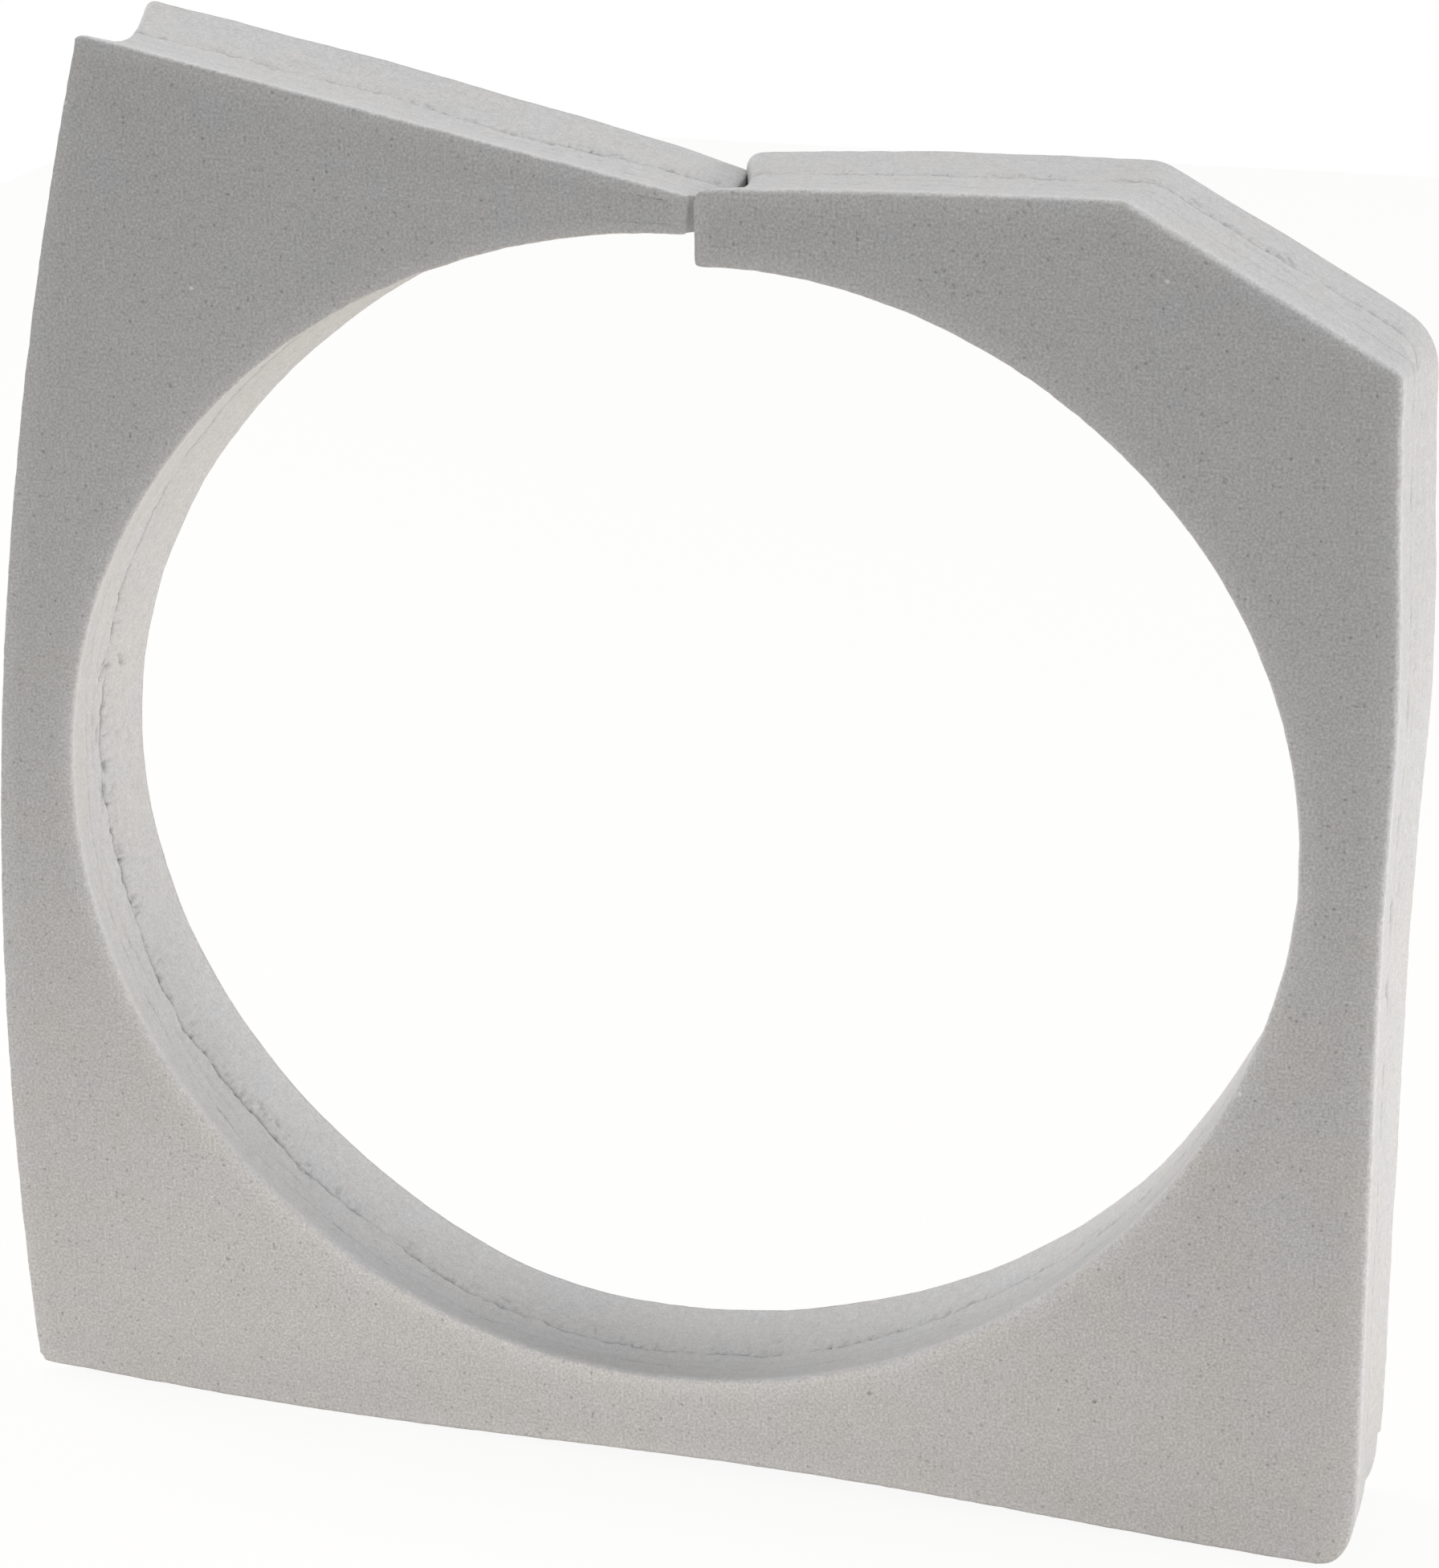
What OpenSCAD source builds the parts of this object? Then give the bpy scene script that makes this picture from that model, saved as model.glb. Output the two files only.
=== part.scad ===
// Split foam frame: a square of soft grey foam, three sheets thick, with a large round opening.
// The frame is slit through at the top, so its two arms can be spread about the thin side webs.
// It stands on its lower wall. X runs to the right, Y from front to rear and Z up, in millimetres.

/* [Sheets] */
// Thickness of the front sheet
front_t = 5; // [3:0.5:12]
// Thickness of the middle sheet
middle_t = 5; // [3:0.5:12]
// Thickness of the rear sheet
rear_t = 10; // [5:0.5:20]
// Depth to which the cut walls are drawn in, half way between the two faces
wall_draw = 2; // [0.5:0.1:3]

/* [Opening] */
// Width of the opening, between the narrowest places of the two side webs
open_w = 151.7; // [140:0.1:160]
// Height of the opening, from its lowest point to the right arm's end
open_h = 139.1; // [125:0.1:150]
// Height of the right web's middle above the left web's middle
right_web_rise = 6.4; // [-10:0.1:15]
// Height of the left arm's underside at the slit above the right arm's
tip_rise = 3.6; // [-4:0.1:8]
// How far the base's arc of the opening bulges past the line between its ends
base_bulge = 56.1; // [50:0.1:62]
// The same for the left web's arc
left_web_bulge = 2; // [1:0.1:4]
// The same for the left arm's arc
left_arm_bulge = 16.2; // [12:0.1:20]
// The same for the right web's arc
right_web_bulge = 2.2; // [1:0.1:4]
// The same for the right arm's arc
right_arm_bulge = 14; // [10:0.1:18]

/* [Webs] */
// Thickness of the left web, the narrowest place of the left wall
left_web = 10; // [7:0.5:25]
// Thickness of the bottom web
bottom_web = 11; // [7:0.5:25]
// Thickness of the right web
right_web = 10; // [7:0.5:25]
// Length of the stretch of each side web that bends
web_l = 32; // [20:1:44]
// Height to which the underside of the bottom web is arched
web_arch = 1.2; // [0.4:0.1:3]
// Width of that arch
arch_w = 44; // [24:1:70]

/* [Outline] */
// Radius of the bowed left wall
left_bow_r = 512; // [400:1:900]
// Height at which the left wall stands out most
left_bow_z = 34; // [20:1:50]
// Length of the right arm, from the slit to the right wall
right_arm_l = 79.5; // [70:0.5:84]
// Height of the right arm's end face at the slit
right_end_h = 8.6; // [5:0.1:15]
// Slope of the right arm's top, in degrees
right_arm_slope = 1.5; // [0:0.1:4]
// Width of the slanted corner
chamfer_w = 31.5; // [15:0.5:40]
// Height of the slanted corner
chamfer_h = 17; // [8:0.5:24]
// Height of the left arm at its tip
left_tip_h = 4.6; // [3:0.1:10]
// Slope of the left arm's top, in degrees
left_arm_slope = 11.8; // [8:0.1:15]
// Width of the slit between the two arms
slit_w = 0.9; // [0.5:0.1:3]
// Radius of the rounded lower right corner
corner_r = 5; // [1:0.5:10]

/* [Hidden] */
$fn = 180;
long_arc_fn = 720;

// Depth of the frame, and where each sheet starts, counted from mid depth towards the front
depth = front_t + middle_t + rear_t;
half_depth = depth / 2;
rear_start = -half_depth;
middle_start = rear_start + rear_t;
front_start = middle_start + middle_t;

// Cutters run past what they cut by this much, and reach this far to the side of it
past = 5;
reach = 150;

// The cut walls are drawn in between the two faces, with one straight taper across each sheet
function draw_at(y) = wall_draw * (1 - pow(y / half_depth, 2));
function wall_point(y) = [draw_at(y), y];
function run_on(p, q) = q + (q - p) * past / norm(q - p);
function wall_line(start, t) = [
    run_on(wall_point(start + t), wall_point(start)),
    run_on(wall_point(start), wall_point(start + t))
];

// An arc that bulges to the right of the line from p to q: its radius and its centre
function arc_r(p, q, bulge) = (pow(norm(q - p) / 2, 2) + pow(bulge, 2)) / (2 * bulge);
function to_left(v) = [-v[1], v[0]] / norm(v);
function arc_centre(p, q, bulge) = (p + q) / 2 + (arc_r(p, q, bulge) - bulge) * to_left(q - p);

// The opening across its two side webs, with the middle of the left web's wall at zero
half_web = [0, web_l / 2];
left_web_end = [left_web_bulge, 0];
right_web_end = [open_w - right_web_bulge, right_web_rise];
low_arc_ends = [left_web_end - half_web, right_web_end - half_web];
low_arc_r = arc_r(low_arc_ends[0], low_arc_ends[1], base_bulge);
low_arc_centre = arc_centre(low_arc_ends[0], low_arc_ends[1], base_bulge);

// Place of the opening: the bottom web below it, and the whole frame centred on X
open_low = web_arch + bottom_web;
open_z = open_low - (low_arc_centre[1] - low_arc_r);
bow_rise = open_z - left_bow_z;
bow_inset = left_bow_r - sqrt(pow(left_bow_r, 2) - pow(bow_rise, 2));
open_x = (left_web + bow_inset - open_w - right_web) / 2;
function in_frame(p) = p + [open_x, open_z];

// Outer walls
left_x = open_x - left_web - bow_inset;
bow_x = left_x + left_bow_r;
right_x = open_x + open_w + right_web;

// Slit and the tops of the two arms
slit_x = right_x - right_arm_l;
tip_x = slit_x - slit_w;
tip_end = left_tip_h * [sin(left_arm_slope), cos(left_arm_slope)];
chamfer_x = right_x - chamfer_w;
chamfer_z = open_low + open_h + right_end_h + (chamfer_x - slit_x) * tan(right_arm_slope);

// Corners of the outline, from the lower left round to the slit
lower_left = [left_x, 0];
lower_right = [right_x, 0];
chamfer_low = [right_x, chamfer_z - chamfer_h];
chamfer_high = [chamfer_x, chamfer_z];
right_end_low = [slit_x, open_low + open_h];
right_end_top = right_end_low + [0, right_end_h];
tip_top = [tip_x, right_end_low[1] + tip_rise + tip_end[1]];
tip_low = tip_top - tip_end;
upper_left = [left_x, tip_top[1] + (tip_x - left_x) * tan(left_arm_slope)];

// Ends of the arcs of the opening, at the limits of the side webs
left_web_low = in_frame(left_web_end - half_web);
left_web_high = in_frame(left_web_end + half_web);
right_web_low = in_frame(right_web_end - half_web);
right_web_high = in_frame(right_web_end + half_web);
inside_x = open_x + open_w / 2;

// The rounded corner runs out a little before it is tangent to the walls
corner_ease = 0.2;

// Arch under the bottom web
arch_r = (arch_w * arch_w / 4 + web_arch * web_arch) / (2 * web_arch);
arch_at = [open_x + low_arc_centre[0], web_arch - arch_r];

// Blanks of the five stretches of a sheet, larger than the outline that is cut out of them
blank_left = left_x - past;
blank_right = right_x + past;
left_blank_top = upper_left[1] + past;
right_blank_top = chamfer_z + past;
blank_slit = (slit_x + tip_x) / 2;
base_blank = [
    [blank_left, -past], [blank_right, -past], [blank_right, right_web_low[1]],
    [inside_x, right_web_low[1]], [inside_x, left_web_low[1]], [blank_left, left_web_low[1]]
];
left_web_blank = [
    [blank_left, left_web_low[1]], [inside_x, left_web_low[1]],
    [inside_x, left_web_high[1]], [blank_left, left_web_high[1]]
];
left_arm_blank = [
    [blank_left, left_web_high[1]], [blank_slit, left_web_high[1]],
    [blank_slit, left_blank_top], [blank_left, left_blank_top]
];
right_web_blank = [
    [inside_x, right_web_low[1]], [blank_right, right_web_low[1]],
    [blank_right, right_web_high[1]], [inside_x, right_web_high[1]]
];
right_arm_blank = [
    [blank_slit, right_web_high[1]], [blank_right, right_web_high[1]],
    [blank_right, right_blank_top], [blank_slit, right_blank_top]
];

front_grey = "#a6a4a1";
middle_grey = "#b4b3b1";
rear_grey = "#bdbcbb";

// Round cutter for the arc of the opening from p to q, with a wall that tapers along line
module arc_cutter(p, q, bulge, line) {
    r = arc_r(p, q, bulge);
    translate(arc_centre(p, q, bulge))
        rotate_extrude()
            polygon([
                [0, line[0][1]], [r + line[0][0], line[0][1]],
                [r + line[1][0], line[1][1]], [0, line[1][1]]
            ]);
}

// Disc whose rim is the bowed left wall
module left_bow(line) {
    translate([bow_x, left_bow_z, 0])
        rotate_extrude($fn = long_arc_fn)
            polygon([
                [0, line[0][1]], [left_bow_r - line[0][0], line[0][1]],
                [left_bow_r - line[1][0], line[1][1]], [0, line[1][1]]
            ]);
}

// Cutter for the straight wall from p to q, with the foam on the left of that line
module wall_cutter(p, q, line) {
    run = q - p;
    translate(p)
        rotate([0, 0, atan2(run[1], run[0])])
            translate([-past, 0, 0])
                rotate([90, 0, 90])
                    linear_extrude(norm(run) + 2 * past)
                        polygon([[-reach, line[0][1]], line[0], line[1], [-reach, line[1][1]]]);
}

// Arch under the bottom web, and the rounding of the lower right corner
module base_trim() {
    translate([arch_at[0], arch_at[1], -depth])
        cylinder(r = arch_r, h = 2 * depth, $fn = long_arc_fn);
    translate([right_x - corner_r, corner_r, -depth])
        difference() {
            translate([0, -corner_r - past, 0])
                cube([corner_r + past, corner_r + past, 2 * depth]);
            cylinder(r = corner_r + corner_ease, h = 2 * depth);
        }
}

// Sheet of a blank's outline, from start to start + t
module sheet(blank, start, t) {
    translate([0, 0, start])
        linear_extrude(t)
            polygon(blank);
}

// Stands a stretch upright, with its front to -Y
module upright() {
    rotate([90, 0, 0])
        children();
}

module sheet_base(start, t) {
    line = wall_line(start, t);
    upright()
        difference() {
            intersection() {
                sheet(base_blank, start, t);
                left_bow(line);
            }
            arc_cutter(left_web_low, right_web_low, base_bulge, line);
            wall_cutter(lower_left, lower_right, line);
            wall_cutter(lower_right, chamfer_low, line);
            base_trim();
        }
}

module sheet_left_web(start, t) {
    line = wall_line(start, t);
    upright()
        difference() {
            intersection() {
                sheet(left_web_blank, start, t);
                left_bow(line);
            }
            arc_cutter(left_web_high, left_web_low, left_web_bulge, line);
        }
}

module sheet_left_arm(start, t) {
    line = wall_line(start, t);
    upright()
        difference() {
            intersection() {
                sheet(left_arm_blank, start, t);
                left_bow(line);
            }
            arc_cutter(tip_low, left_web_high, left_arm_bulge, line);
            wall_cutter(tip_low, tip_top, line);
            wall_cutter(tip_top, upper_left, line);
        }
}

module sheet_right_web(start, t) {
    line = wall_line(start, t);
    upright()
        difference() {
            sheet(right_web_blank, start, t);
            arc_cutter(right_web_low, right_web_high, right_web_bulge, line);
            wall_cutter(lower_right, chamfer_low, line);
        }
}

module sheet_right_arm(start, t) {
    line = wall_line(start, t);
    upright()
        difference() {
            sheet(right_arm_blank, start, t);
            arc_cutter(right_web_high, right_end_low, right_arm_bulge, line);
            wall_cutter(lower_right, chamfer_low, line);
            wall_cutter(chamfer_low, chamfer_high, line);
            wall_cutter(chamfer_high, right_end_top, line);
            wall_cutter(right_end_top, right_end_low, line);
        }
}

module front_sheet_base() { color(front_grey) sheet_base(front_start, front_t); }
module front_sheet_left_web() { color(front_grey) sheet_left_web(front_start, front_t); }
module front_sheet_left_arm() { color(front_grey) sheet_left_arm(front_start, front_t); }
module front_sheet_right_web() { color(front_grey) sheet_right_web(front_start, front_t); }
module front_sheet_right_arm() { color(front_grey) sheet_right_arm(front_start, front_t); }

module middle_sheet_base() { color(middle_grey) sheet_base(middle_start, middle_t); }
module middle_sheet_left_web() { color(middle_grey) sheet_left_web(middle_start, middle_t); }
module middle_sheet_left_arm() { color(middle_grey) sheet_left_arm(middle_start, middle_t); }
module middle_sheet_right_web() { color(middle_grey) sheet_right_web(middle_start, middle_t); }
module middle_sheet_right_arm() { color(middle_grey) sheet_right_arm(middle_start, middle_t); }

module rear_sheet_base() { color(rear_grey) sheet_base(rear_start, rear_t); }
module rear_sheet_left_web() { color(rear_grey) sheet_left_web(rear_start, rear_t); }
module rear_sheet_left_arm() { color(rear_grey) sheet_left_arm(rear_start, rear_t); }
module rear_sheet_right_web() { color(rear_grey) sheet_right_web(rear_start, rear_t); }
module rear_sheet_right_arm() { color(rear_grey) sheet_right_arm(rear_start, rear_t); }

front_sheet_base();
front_sheet_left_web();
front_sheet_left_arm();
front_sheet_right_web();
front_sheet_right_arm();
middle_sheet_base();
middle_sheet_left_web();
middle_sheet_left_arm();
middle_sheet_right_web();
middle_sheet_right_arm();
rear_sheet_base();
rear_sheet_left_web();
rear_sheet_left_arm();
rear_sheet_right_web();
rear_sheet_right_arm();
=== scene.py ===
"""Looks of a square protector frame of soft grey foam with a round opening and a slit through its top."""

import math
import random

import bpy
import numpy as np
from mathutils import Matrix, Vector, noise


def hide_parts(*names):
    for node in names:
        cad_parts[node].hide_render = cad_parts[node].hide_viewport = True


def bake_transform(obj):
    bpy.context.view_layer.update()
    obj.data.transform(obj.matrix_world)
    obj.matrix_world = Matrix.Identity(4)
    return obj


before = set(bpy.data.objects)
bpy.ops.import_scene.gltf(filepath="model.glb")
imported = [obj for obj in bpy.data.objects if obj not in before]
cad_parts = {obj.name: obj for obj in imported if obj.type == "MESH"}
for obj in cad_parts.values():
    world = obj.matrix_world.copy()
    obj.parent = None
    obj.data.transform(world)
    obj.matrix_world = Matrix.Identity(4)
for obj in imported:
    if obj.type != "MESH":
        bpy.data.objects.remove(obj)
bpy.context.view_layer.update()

# All sizes are in millimetres, in the frame's own axes: X to the right, Y to the rear, Z up.
MM = 0.001
FRONT_Y = -10.0
REAR_Y = 10.0
FIRST_BOND_Y = -5.0
MAIN_BOND_Y = 0.0
SCORE_Y = -2.6

# The opening is a ring of arcs, from the left arm's tip round the bottom to the right arm's end.
RING_RADII = (88.0, 77.0, 65.5, 73.5, 80.5, 60.0, 70.5)
RING_ENDS = (122.0, 155.0, 216.0, 271.0, 345.0, 399.0, 451.37)
RING_START = 90.57
RING_TIP_CENTRE = (7.01, 66.81)
RING_LOW_ANGLE = 270.0
RING_MEAN_RADIUS = 73.0
ANGLE_SLACK = 1e-9

# Corners of the outline on the front face, and the upright cut where the two halves meet.
LEFT_TIP_LOW = (6.13, 154.81)
LEFT_TIP_TOP = (6.55, 159.4)
TOP_LEFT = (-67.95, 174.4)
LOW_LEFT = (-86.2, 1.5)
RIGHT_END_LOW = (7.05, 151.28)
RIGHT_END_TOP = (7.05, 160.2)
SLANT_TOP = (55.8, 161.5)
SLANT_LOW = (86.5, 144.4)
LOW_RIGHT = (86.5, 0.1)
CUT_X = -2.77
CUT_LOW = (CUT_X, 0.0)

# The left and the upper right edge are bowed, and the right edge stands out a little above its middle.
LEFT_BOW = 7.5
TOP_RIGHT_BOW = 0.25
RIGHT_BULGE = 0.9
RIGHT_BULGE_Z = 107.0
RIGHT_BULGE_SPREAD = 20.0

# The lower edge stands on two places and is lifted a little between them.
LOWER_LIFT = 0.75
LOWER_REST_X = -48.0
LOWER_WAVE = 132.0

# How the opening's wall changes round the ring, in pairs of an angle and a value: how far it is drawn in at
# its waist, how far the bond lines are shifted to the rear, and how much they gape.
RING_DRAW = (
    (91, 1.0), (150, 1.3), (185, 1.8), (268, 2.2),
    (300, 0.7), (322, 0.3), (365, 0.6), (451, 1.0),
)
RING_LINE_SHIFT = (
    (91, 1.0), (215, 1.0), (245, 1.2), (268, -0.5),
    (284, 0.0), (302, 2.0), (345, 2.0), (365, 1.0),
)
RING_LINE_OPEN = (
    (91, 0.15), (150, 0.25), (170, 0.8), (205, 1.0), (224, 0.9),
    (232, 0.5), (335, 0.5), (350, 0.2), (451, 0.2),
)

# Where the ring's rear lip lies deeper in the foam than its front lip, or stands out where the amount is
# negative: angle, amount and spread.
RING_REAR_LIPS = (
    (130.0, -1.1, 22.0), (185.0, 0.3, 15.0), (255.0, 1.15, 16.0),
    (290.0, -0.35, 14.0), (331.0, -0.5, 9.0),
)

# Rounding of the lips between a face and the cut wall. By the slit the ring's lip changes in a few degrees.
EDGE_ROUND = 0.8
TIP_ROUND = 0.75
END_ROUND = 0.25
TOP_LEFT_ROUND = 0.5
TOP_RIGHT_ROUND = 0.6
REAR_ROUND = 0.4
RING_LIP_REACH = 3.0

# Rounding of the outline's corners, at the front face and at the rear face.
CORNER_ROUND = {
    ("ring", "left_tip"): (0.3, 0.8),
    ("left_tip", "top_left"): (0.6, 0.6),
    ("top_left", "left"): (0.6, 1.6),
    ("left", "lower"): (0.6, 1.5),
    ("ring", "right_end"): (0.4, 1.0),
    ("right_end", "top_right"): (1.2, 2.4),
    ("top_right", "slant"): (2.5, 6.0),
    ("slant", "right"): (2.0, 8.0),
    ("right", "lower"): (4.5, 3.4),
}
LOW_RIGHT_STRETCH = 2.4
CORNER_GROWTH = 1.5
CORNER_NEAR = 1.2
CORNER_SHARE = 0.42

# Shape of a drawn wall through the foam's depth, and how much of the foam's width it may take.
WAIST_POWER = 1.6
SWELL_FALL = 0.78
DRAW_SHARE = 0.13
ROOM_SHARE = 0.26
END_WIDTH = 8.0

# Spacing of the outline's columns and of the wall's rows.
COLUMN_STEP = 0.3
FEWEST_COLUMNS = 12
CUT_COLUMNS = 22
WIDTH_SKIP = 3
WALL_STEP = 0.36
FEWEST_ROWS = 4
ROWS_BY_BOND = (0.0, 0.1, 0.22, 0.4)
BOND_MARGIN = 0.65
CAP_INSET = 3.0
SHEET_GAP = 0.01

# How far each quantity is evened out where one edge meets the next.
SHIFT_REACH = 6.0
OPEN_REACH = 4.0
LIP_REACH = 1.5

# Small waves of the two cut lips and of the lines on the wall: height, length and seed.
FRONT_FRAY = ((0.09, 4.0, 0.0), (0.05, 1.3, 2.0))
REAR_FRAY = ((0.14, 9.0, 4.0), (0.05, 2.0, 6.0))
BOND_WANDER = ((1.2, 17.0, 0.0), (0.50, 3.6, 3.0), (0.30, 1.1, 5.0))

# Soft unevenness of the cut wall: height, length along the wall, length across it and seed.
WALL_WAVES = ((0.05, 3.0, 2.4, 11.0), (0.025, 0.8, 0.8, 13.0))

# How ragged the lines' grooves are: level, height, length and seed of each wave.
RAGGED_WAVES = ((0.55, 1.1, 0.8, 29.0), (0.65, 1.5, 2.6, 53.0))

# Cracks in the cut wall: middle and spread of their depth and slant, then least and most of their measures.
CRACK_DEPTH = (1.6, 1.3)
CRACK_SLANT = (0.0, 32.0)
CRACK_LENGTH = (1.0, 3.4)
CRACK_WIDTH = (0.15, 0.22)
CRACK_DEEP = (0.2, 0.6)
CRACK_WAVE = 0.25
CRACK_WAVE_TURN = 2.1
# How much painted shade a crack's groove gets for its depth.
CRACK_SHADE = 1.6

# The loose fringe behind the main bond, where the foam has also dropped back.
FRINGE_GRAIN = (0.45, 1.6)
FRINGE_LEVEL = 0.08
FRINGE_SHARE = 2.6
FRINGE_REACH = 1.0
FRINGE_DEEP = 0.7
# How much painted shade the loose fringe gets.
FRINGE_SHADE = 1.4
FRINGE_SEED = 23.0
STEP_DEEP = 0.45
STEP_REACH = 1.6

# Depth of each line's groove, how wide it is, and how little of it is left where it is closed.
LINE_DEEP = {"main": 0.9, "first": 0.5, "score": 0.5}
LINE_WIDTH = 0.2
OPEN_LINE_WIDTH = 0.35
# How much painted shade a line's groove gets.
LINE_SHADE = 1.1
CLOSED_LINE = 0.03
EVEN_LINE = 0.18

# How much of each line gapes: the wave that opens it, and the shares of the first bond and of the score.
OPEN_LEVEL = 0.5
OPEN_HEIGHT = 0.9
FIRST_OPEN = 0.20
FIRST_MORE_OPEN = 0.65
SCORE_OPEN = 0.7

# Loops on the flat faces: how far each one lies inside the lip, and how much of the painted light at the lip
# it still has, painted shade where that share is negative.
FRONT_FACE_LOOPS = ((7.0, 0.0), (3.6, 0.08), (2.3, 0.25), (1.5, 0.5))
REAR_FACE_LOOPS = ((1.2, -0.2), (3.0, 0.0), (6.0, 0.0))
FRONT_LIP_LOOPS = 6
REAR_LIP_LOOPS = 5
# Painted light along the front lip and on the wall just behind it, and painted shade along the rear lip.
FRONT_LIP_LIGHT = 0.8
WALL_LIP_LIGHT = 0.7
WALL_LIP_LIGHT_REACH = 2.2
REAR_LIP_SHADE = -1.0

# The turning sense of the two halves' outlines, and how their meshes are closed and smoothed.
LEFT = 1.0
RIGHT = -1.0
SEAM_GAP = 1e-7
SMOOTH_ANGLE = 50.0


def ring_arcs():
    """Centres and angles of the opening's arcs, each one tangent to the one before."""
    arcs = []
    centre = np.array(RING_TIP_CENTRE)
    start = RING_START
    for i, radius in enumerate(RING_RADII):
        if i > 0:
            turn = math.radians(start)
            centre = centre + (RING_RADII[i - 1] - radius) * np.array((math.cos(turn), math.sin(turn)))
        arcs.append((centre, radius, start, RING_ENDS[i]))
        start = RING_ENDS[i]
    return arcs


def ring_points(first, last):
    """Points, normals into the foam and angles along the opening from one angle to another."""
    length = abs(last - first) * math.radians(1.0) * RING_MEAN_RADIUS
    angles = np.linspace(first, last, int(length / COLUMN_STEP))
    points = np.zeros((len(angles), 2))
    normals = np.zeros((len(angles), 2))
    for centre, radius, start, end in ring_arcs():
        here = (angles >= start - ANGLE_SLACK) & (angles <= end + ANGLE_SLACK)
        turn = np.radians(angles[here])
        away = np.stack((np.cos(turn), np.sin(turn)), axis=1)
        points[here] = centre + radius * away
        normals[here] = away
    return points, normals, angles


def smooth_noise(u, v=0.0, seed=0.0):
    """Soft noise from -1 to 1 over a list of places."""
    v = np.broadcast_to(v, np.shape(u))
    values = [noise.noise((a, b, seed)) for a, b in zip(np.ravel(u), np.ravel(v))]
    return np.array(values).reshape(np.shape(u))


def small_waves(run, waves, seed):
    """The sum of some small waves along the outline."""
    return sum(height * smooth_noise(run / length, 0.0, seed + step) for height, length, step in waves)


def eased(share):
    """A share from 0 to 1 with a soft start and a soft end."""
    return share * share * (3.0 - 2.0 * share)


def along_pairs(places, pairs):
    """A value at each place, from pairs of a place and a value."""
    return np.interp(places, *zip(*pairs))


def edge(name, start, end, side, draw, waist=0.0, rear=((0.0, 0.0),), bow=0.0, line_shift=1.0,
         line_open=((0.0, 0.3),), first_open=None, lip=EDGE_ROUND, swell=None):
    """One nearly straight edge of the outline, as a list of places along it."""
    start = np.array(start)
    end = np.array(end)
    length = np.linalg.norm(end - start)
    share = np.linspace(0.0, 1.0, max(FEWEST_COLUMNS, int(length / COLUMN_STEP)))
    along = (end - start) / length
    inward = side * np.array((-along[1], along[0]))
    lift = -4.0 * bow * share * (1.0 - share)
    points = start + np.outer(share, end - start) + np.outer(lift, inward)
    if name == "lower":
        points[:, 1] = LOWER_LIFT * (1.0 - np.cos((points[:, 0] - LOWER_REST_X) / LOWER_WAVE * math.tau))
    if name == "right":
        points[:, 0] += RIGHT_BULGE * np.exp(-(((points[:, 1] - RIGHT_BULGE_Z) / RIGHT_BULGE_SPREAD) ** 2))
    tangents = np.gradient(points, axis=0)
    tangents /= np.linalg.norm(tangents, axis=1)[:, None]
    normals = side * np.stack((-tangents[:, 1], tangents[:, 0]), axis=1)
    return {
        "name": name, "points": points, "normals": normals, "tangents": tangents, "share": share,
        "draw": np.full(len(share), draw), "waist": waist, "swell": swell,
        "rear": along_pairs(share, rear), "shift": np.full(len(share), line_shift),
        "open": along_pairs(share, line_open), "first": along_pairs(share, first_open or line_open),
        "lip": np.full(len(share), lip),
    }


def ring_edge(last, side):
    """The opening's half, from its lowest point to the slit."""
    points, normals, angles = ring_points(RING_LOW_ANGLE, last)
    tangents = side * np.stack((normals[:, 1], -normals[:, 0]), axis=1)
    rear = np.zeros(len(angles))
    for place, amount, spread in RING_REAR_LIPS:
        rear -= amount * np.exp(-(((angles - place) / spread) ** 2))
    gape = along_pairs(angles, RING_LINE_OPEN)
    return {
        "name": "ring", "points": points, "normals": normals, "tangents": tangents,
        "share": np.linspace(0.0, 1.0, len(angles)),
        "draw": along_pairs(angles, RING_DRAW), "waist": 0.0, "swell": None,
        "rear": rear, "shift": along_pairs(angles, RING_LINE_SHIFT), "open": gape, "first": gape,
        "lip": np.interp(np.abs(angles - last), (0.0, RING_LIP_REACH), (END_ROUND, EDGE_ROUND)),
    }


def left_edges():
    """The left half's edges in order, from the bottom of the opening to the slit and back."""
    return [
        ring_edge(RING_START, LEFT),
        edge("left_tip", LEFT_TIP_LOW, LEFT_TIP_TOP, LEFT, draw=-3.2, waist=-7.0, swell=2.2, lip=TIP_ROUND),
        edge("top_left", LEFT_TIP_TOP, TOP_LEFT, LEFT, draw=1.5, lip=TOP_LEFT_ROUND,
             line_open=((0.0, 0.7), (0.45, 0.5), (0.65, 0.3)),
             rear=((0.0, -1.0), (0.12, -0.2), (0.35, 0.3), (0.6, 0.75), (1.0, 0.6))),
        edge("left", TOP_LEFT, LOW_LEFT, LEFT, draw=4.2, waist=-7.8, bow=LEFT_BOW,
             rear=((0.0, 0.3), (0.5, 0.0))),
        edge("lower", LOW_LEFT, CUT_LOW, LEFT, draw=0.4),
    ]


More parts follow.
